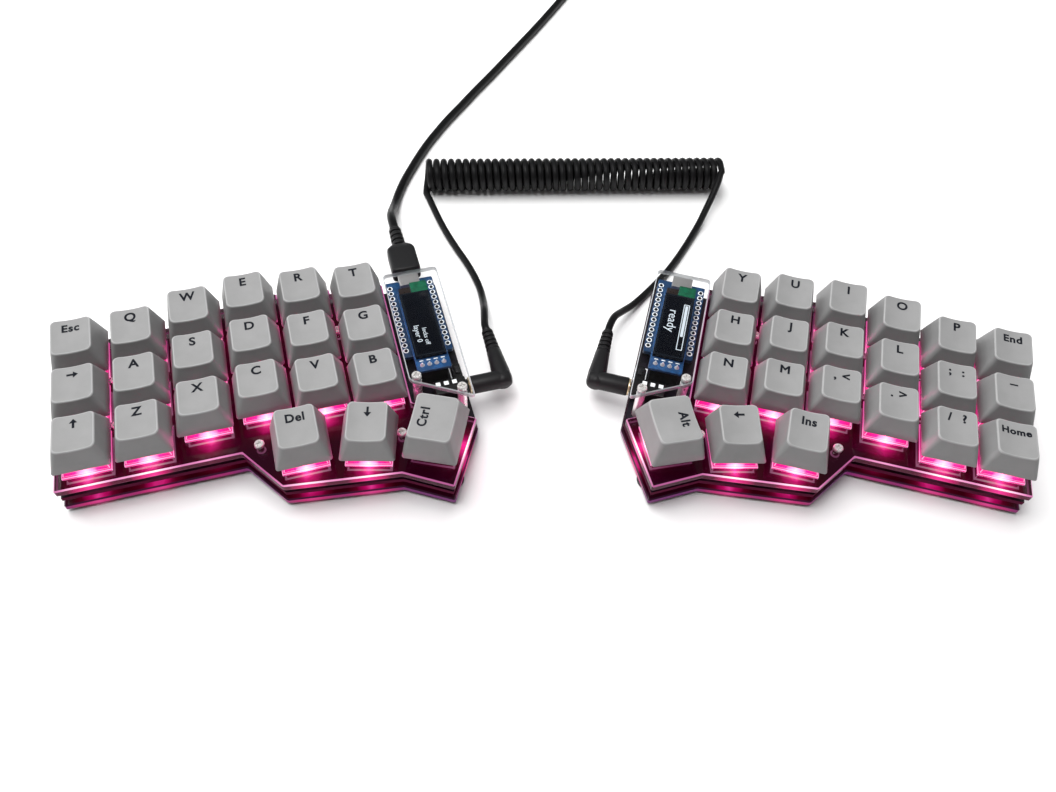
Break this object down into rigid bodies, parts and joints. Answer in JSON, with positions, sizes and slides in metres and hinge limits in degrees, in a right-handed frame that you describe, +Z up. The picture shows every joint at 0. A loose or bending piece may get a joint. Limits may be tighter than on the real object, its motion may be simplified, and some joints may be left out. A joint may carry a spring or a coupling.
{
  "type": "split keyboard",
  "caption": "Split keyboard in two mirrored halves of stacked clear plates, with staggered columns of sprung grey keys, small covered displays, a curly link cord and a data cord.",
  "frame": {"origin": "on the desk, midway between the two halves and at the middle of their depth", "axes": "+X to the typist's right along the pair, +Y away from the typist, +Z up"},
  "size_m": [0.3468, 0.3732, 0.029],
  "materials": {
    "clear_plate": "clear polished acrylic, lit pink from inside",
    "rubber_foot": "matte",
    "circuit_board": "black solder mask",
    "steel": "bright nickel plate",
    "clear_switch": "clear moulded plastic, lit pink",
    "spring_steel": "drawn wire",
    "controller_board": "blue solder mask",
    "display_board": "blue board with dark glass",
    "clear_cover": "clear polished acrylic",
    "button": "moulded",
    "key_cap": "fine moulded grain",
    "black_cord": "satin jacket",
    "black_plug": "satin moulded"
  },
  "bodies": {
    "base": {"bottom_plates": "clear_plate", "rubber_feet": "rubber_foot", "circuit_boards": "circuit_board", "top_plates": "clear_plate", "spacers": "steel", "screws": "steel", "switch_housings": "clear_switch", "switch_springs": "spring_steel", "controllers": "controller_board", "display_modules": "display_board", "display_covers": "clear_cover", "link_leads": "black_cord", "link_curls": "black_cord", "data_cord": "black_cord", "data_coil": "black_cord", "cord_plugs": "black_plug"},
    "left_key_r1c1": {"left_key_r1c1": "key_cap"},
    "left_key_r1c2": {"left_key_r1c2": "key_cap"},
    "left_key_r1c3": {"left_key_r1c3": "key_cap"},
    "left_key_r1c4": {"left_key_r1c4": "key_cap"},
    "left_key_r1c5": {"left_key_r1c5": "key_cap"},
    "left_key_r1c6": {"left_key_r1c6": "key_cap"},
    "left_key_r2c1": {"left_key_r2c1": "key_cap"},
    "left_key_r2c2": {"left_key_r2c2": "key_cap"},
    "left_key_r2c3": {"left_key_r2c3": "key_cap"},
    "left_key_r2c4": {"left_key_r2c4": "key_cap"},
    "left_key_r2c5": {"left_key_r2c5": "key_cap"},
    "left_key_r2c6": {"left_key_r2c6": "key_cap"},
    "left_key_r3c1": {"left_key_r3c1": "key_cap"},
    "left_key_r3c2": {"left_key_r3c2": "key_cap"},
    "left_key_r3c3": {"left_key_r3c3": "key_cap"},
    "left_key_r3c4": {"left_key_r3c4": "key_cap"},
    "left_key_r3c5": {"left_key_r3c5": "key_cap"},
    "left_key_r3c6": {"left_key_r3c6": "key_cap"},
    "left_thumb_key_1": {"left_thumb_key_1": "key_cap"},
    "left_thumb_key_2": {"left_thumb_key_2": "key_cap"},
    "left_thumb_key_3": {"left_thumb_key_3": "key_cap"},
    "right_key_r1c1": {"right_key_r1c1": "key_cap"},
    "right_key_r1c2": {"right_key_r1c2": "key_cap"},
    "right_key_r1c3": {"right_key_r1c3": "key_cap"},
    "right_key_r1c4": {"right_key_r1c4": "key_cap"},
    "right_key_r1c5": {"right_key_r1c5": "key_cap"},
    "right_key_r1c6": {"right_key_r1c6": "key_cap"},
    "right_key_r2c1": {"right_key_r2c1": "key_cap"},
    "right_key_r2c2": {"right_key_r2c2": "key_cap"},
    "right_key_r2c3": {"right_key_r2c3": "key_cap"},
    "right_key_r2c4": {"right_key_r2c4": "key_cap"},
    "right_key_r2c5": {"right_key_r2c5": "key_cap"},
    "right_key_r2c6": {"right_key_r2c6": "key_cap"},
    "right_key_r3c1": {"right_key_r3c1": "key_cap"},
    "right_key_r3c2": {"right_key_r3c2": "key_cap"},
    "right_key_r3c3": {"right_key_r3c3": "key_cap"},
    "right_key_r3c4": {"right_key_r3c4": "key_cap"},
    "right_key_r3c5": {"right_key_r3c5": "key_cap"},
    "right_key_r3c6": {"right_key_r3c6": "key_cap"},
    "right_thumb_key_1": {"right_thumb_key_1": "key_cap"},
    "right_thumb_key_2": {"right_thumb_key_2": "key_cap"},
    "right_thumb_key_3": {"right_thumb_key_3": "key_cap"},
    "left_reset_button": {"left_reset_button": "button"},
    "right_reset_button": {"right_reset_button": "button"}
  },
  "joints": [
    {"name": "left_key_r1c1_press", "type": "slide", "parent": "base", "child": "left_key_r1c1", "axis": [0, 0, -1], "range_m": [0, 0.004], "stiffness_N_per_m": 100, "springref_m": -0.003, "deforming": ["switch_springs"]},
    {"name": "left_key_r1c2_press", "type": "slide", "parent": "base", "child": "left_key_r1c2", "axis": [0, 0, -1], "range_m": [0, 0.004], "stiffness_N_per_m": 100, "springref_m": -0.003, "deforming": ["switch_springs"]},
    {"name": "left_key_r1c3_press", "type": "slide", "parent": "base", "child": "left_key_r1c3", "axis": [0, 0, -1], "range_m": [0, 0.004], "stiffness_N_per_m": 100, "springref_m": -0.003, "deforming": ["switch_springs"]},
    {"name": "left_key_r1c4_press", "type": "slide", "parent": "base", "child": "left_key_r1c4", "axis": [0, 0, -1], "range_m": [0, 0.004], "stiffness_N_per_m": 100, "springref_m": -0.003, "deforming": ["switch_springs"]},
    {"name": "left_key_r1c5_press", "type": "slide", "parent": "base", "child": "left_key_r1c5", "axis": [0, 0, -1], "range_m": [0, 0.004], "stiffness_N_per_m": 100, "springref_m": -0.003, "deforming": ["switch_springs"]},
    {"name": "left_key_r1c6_press", "type": "slide", "parent": "base", "child": "left_key_r1c6", "axis": [0, 0, -1], "range_m": [0, 0.004], "stiffness_N_per_m": 100, "springref_m": -0.003, "deforming": ["switch_springs"]},
    {"name": "left_key_r2c1_press", "type": "slide", "parent": "base", "child": "left_key_r2c1", "axis": [0, 0, -1], "range_m": [0, 0.004], "stiffness_N_per_m": 100, "springref_m": -0.003, "deforming": ["switch_springs"]},
    {"name": "left_key_r2c2_press", "type": "slide", "parent": "base", "child": "left_key_r2c2", "axis": [0, 0, -1], "range_m": [0, 0.004], "stiffness_N_per_m": 100, "springref_m": -0.003, "deforming": ["switch_springs"]},
    {"name": "left_key_r2c3_press", "type": "slide", "parent": "base", "child": "left_key_r2c3", "axis": [0, 0, -1], "range_m": [0, 0.004], "stiffness_N_per_m": 100, "springref_m": -0.003, "deforming": ["switch_springs"]},
    {"name": "left_key_r2c4_press", "type": "slide", "parent": "base", "child": "left_key_r2c4", "axis": [0, 0, -1], "range_m": [0, 0.004], "stiffness_N_per_m": 100, "springref_m": -0.003, "deforming": ["switch_springs"]},
    {"name": "left_key_r2c5_press", "type": "slide", "parent": "base", "child": "left_key_r2c5", "axis": [0, 0, -1], "range_m": [0, 0.004], "stiffness_N_per_m": 100, "springref_m": -0.003, "deforming": ["switch_springs"]},
    {"name": "left_key_r2c6_press", "type": "slide", "parent": "base", "child": "left_key_r2c6", "axis": [0, 0, -1], "range_m": [0, 0.004], "stiffness_N_per_m": 100, "springref_m": -0.003, "deforming": ["switch_springs"]},
    {"name": "left_key_r3c1_press", "type": "slide", "parent": "base", "child": "left_key_r3c1", "axis": [0, 0, -1], "range_m": [0, 0.004], "stiffness_N_per_m": 100, "springref_m": -0.003, "deforming": ["switch_springs"]},
    {"name": "left_key_r3c2_press", "type": "slide", "parent": "base", "child": "left_key_r3c2", "axis": [0, 0, -1], "range_m": [0, 0.004], "stiffness_N_per_m": 100, "springref_m": -0.003, "deforming": ["switch_springs"]},
    {"name": "left_key_r3c3_press", "type": "slide", "parent": "base", "child": "left_key_r3c3", "axis": [0, 0, -1], "range_m": [0, 0.004], "stiffness_N_per_m": 100, "springref_m": -0.003, "deforming": ["switch_springs"]},
    {"name": "left_key_r3c4_press", "type": "slide", "parent": "base", "child": "left_key_r3c4", "axis": [0, 0, -1], "range_m": [0, 0.004], "stiffness_N_per_m": 100, "springref_m": -0.003, "deforming": ["switch_springs"]},
    {"name": "left_key_r3c5_press", "type": "slide", "parent": "base", "child": "left_key_r3c5", "axis": [0, 0, -1], "range_m": [0, 0.004], "stiffness_N_per_m": 100, "springref_m": -0.003, "deforming": ["switch_springs"]},
    {"name": "left_key_r3c6_press", "type": "slide", "parent": "base", "child": "left_key_r3c6", "axis": [0, 0, -1], "range_m": [0, 0.004], "stiffness_N_per_m": 100, "springref_m": -0.003, "deforming": ["switch_springs"]},
    {"name": "left_thumb_key_1_press", "type": "slide", "parent": "base", "child": "left_thumb_key_1", "axis": [0, 0, -1], "range_m": [0, 0.004], "stiffness_N_per_m": 100, "springref_m": -0.003, "deforming": ["switch_springs"]},
    {"name": "left_thumb_key_2_press", "type": "slide", "parent": "base", "child": "left_thumb_key_2", "axis": [0, 0, -1], "range_m": [0, 0.004], "stiffness_N_per_m": 100, "springref_m": -0.003, "deforming": ["switch_springs"]},
    {"name": "left_thumb_key_3_press", "type": "slide", "parent": "base", "child": "left_thumb_key_3", "axis": [0, 0, -1], "range_m": [0, 0.004], "stiffness_N_per_m": 100, "springref_m": -0.003, "deforming": ["switch_springs"]},
    {"name": "right_key_r1c1_press", "type": "slide", "parent": "base", "child": "right_key_r1c1", "axis": [0, 0, -1], "range_m": [0, 0.004], "stiffness_N_per_m": 100, "springref_m": -0.003, "deforming": ["switch_springs"]},
    {"name": "right_key_r1c2_press", "type": "slide", "parent": "base", "child": "right_key_r1c2", "axis": [0, 0, -1], "range_m": [0, 0.004], "stiffness_N_per_m": 100, "springref_m": -0.003, "deforming": ["switch_springs"]},
    {"name": "right_key_r1c3_press", "type": "slide", "parent": "base", "child": "right_key_r1c3", "axis": [0, 0, -1], "range_m": [0, 0.004], "stiffness_N_per_m": 100, "springref_m": -0.003, "deforming": ["switch_springs"]},
    {"name": "right_key_r1c4_press", "type": "slide", "parent": "base", "child": "right_key_r1c4", "axis": [0, 0, -1], "range_m": [0, 0.004], "stiffness_N_per_m": 100, "springref_m": -0.003, "deforming": ["switch_springs"]},
    {"name": "right_key_r1c5_press", "type": "slide", "parent": "base", "child": "right_key_r1c5", "axis": [0, 0, -1], "range_m": [0, 0.004], "stiffness_N_per_m": 100, "springref_m": -0.003, "deforming": ["switch_springs"]},
    {"name": "right_key_r1c6_press", "type": "slide", "parent": "base", "child": "right_key_r1c6", "axis": [0, 0, -1], "range_m": [0, 0.004], "stiffness_N_per_m": 100, "springref_m": -0.003, "deforming": ["switch_springs"]},
    {"name": "right_key_r2c1_press", "type": "slide", "parent": "base", "child": "right_key_r2c1", "axis": [0, 0, -1], "range_m": [0, 0.004], "stiffness_N_per_m": 100, "springref_m": -0.003, "deforming": ["switch_springs"]},
    {"name": "right_key_r2c2_press", "type": "slide", "parent": "base", "child": "right_key_r2c2", "axis": [0, 0, -1], "range_m": [0, 0.004], "stiffness_N_per_m": 100, "springref_m": -0.003, "deforming": ["switch_springs"]},
    {"name": "right_key_r2c3_press", "type": "slide", "parent": "base", "child": "right_key_r2c3", "axis": [0, 0, -1], "range_m": [0, 0.004], "stiffness_N_per_m": 100, "springref_m": -0.003, "deforming": ["switch_springs"]},
    {"name": "right_key_r2c4_press", "type": "slide", "parent": "base", "child": "right_key_r2c4", "axis": [0, 0, -1], "range_m": [0, 0.004], "stiffness_N_per_m": 100, "springref_m": -0.003, "deforming": ["switch_springs"]},
    {"name": "right_key_r2c5_press", "type": "slide", "parent": "base", "child": "right_key_r2c5", "axis": [0, 0, -1], "range_m": [0, 0.004], "stiffness_N_per_m": 100, "springref_m": -0.003, "deforming": ["switch_springs"]},
    {"name": "right_key_r2c6_press", "type": "slide", "parent": "base", "child": "right_key_r2c6", "axis": [0, 0, -1], "range_m": [0, 0.004], "stiffness_N_per_m": 100, "springref_m": -0.003, "deforming": ["switch_springs"]},
    {"name": "right_key_r3c1_press", "type": "slide", "parent": "base", "child": "right_key_r3c1", "axis": [0, 0, -1], "range_m": [0, 0.004], "stiffness_N_per_m": 100, "springref_m": -0.003, "deforming": ["switch_springs"]},
    {"name": "right_key_r3c2_press", "type": "slide", "parent": "base", "child": "right_key_r3c2", "axis": [0, 0, -1], "range_m": [0, 0.004], "stiffness_N_per_m": 100, "springref_m": -0.003, "deforming": ["switch_springs"]},
    {"name": "right_key_r3c3_press", "type": "slide", "parent": "base", "child": "right_key_r3c3", "axis": [0, 0, -1], "range_m": [0, 0.004], "stiffness_N_per_m": 100, "springref_m": -0.003, "deforming": ["switch_springs"]},
    {"name": "right_key_r3c4_press", "type": "slide", "parent": "base", "child": "right_key_r3c4", "axis": [0, 0, -1], "range_m": [0, 0.004], "stiffness_N_per_m": 100, "springref_m": -0.003, "deforming": ["switch_springs"]},
    {"name": "right_key_r3c5_press", "type": "slide", "parent": "base", "child": "right_key_r3c5", "axis": [0, 0, -1], "range_m": [0, 0.004], "stiffness_N_per_m": 100, "springref_m": -0.003, "deforming": ["switch_springs"]},
    {"name": "right_key_r3c6_press", "type": "slide", "parent": "base", "child": "right_key_r3c6", "axis": [0, 0, -1], "range_m": [0, 0.004], "stiffness_N_per_m": 100, "springref_m": -0.003, "deforming": ["switch_springs"]},
    {"name": "right_thumb_key_1_press", "type": "slide", "parent": "base", "child": "right_thumb_key_1", "axis": [0, 0, -1], "range_m": [0, 0.004], "stiffness_N_per_m": 100, "springref_m": -0.003, "deforming": ["switch_springs"]},
    {"name": "right_thumb_key_2_press", "type": "slide", "parent": "base", "child": "right_thumb_key_2", "axis": [0, 0, -1], "range_m": [0, 0.004], "stiffness_N_per_m": 100, "springref_m": -0.003, "deforming": ["switch_springs"]},
    {"name": "right_thumb_key_3_press", "type": "slide", "parent": "base", "child": "right_thumb_key_3", "axis": [0, 0, -1], "range_m": [0, 0.004], "stiffness_N_per_m": 100, "springref_m": -0.003, "deforming": ["switch_springs"]},
    {"name": "left_reset_button_press", "type": "slide", "parent": "base", "child": "left_reset_button", "axis": [0, 0, -1], "range_m": [0, 0.00025], "stiffness_N_per_m": 500, "springref_m": -0.0006},
    {"name": "right_reset_button_press", "type": "slide", "parent": "base", "child": "right_reset_button", "axis": [0, 0, -1], "range_m": [0, 0.00025], "stiffness_N_per_m": 500, "springref_m": -0.0006}
  ]
}
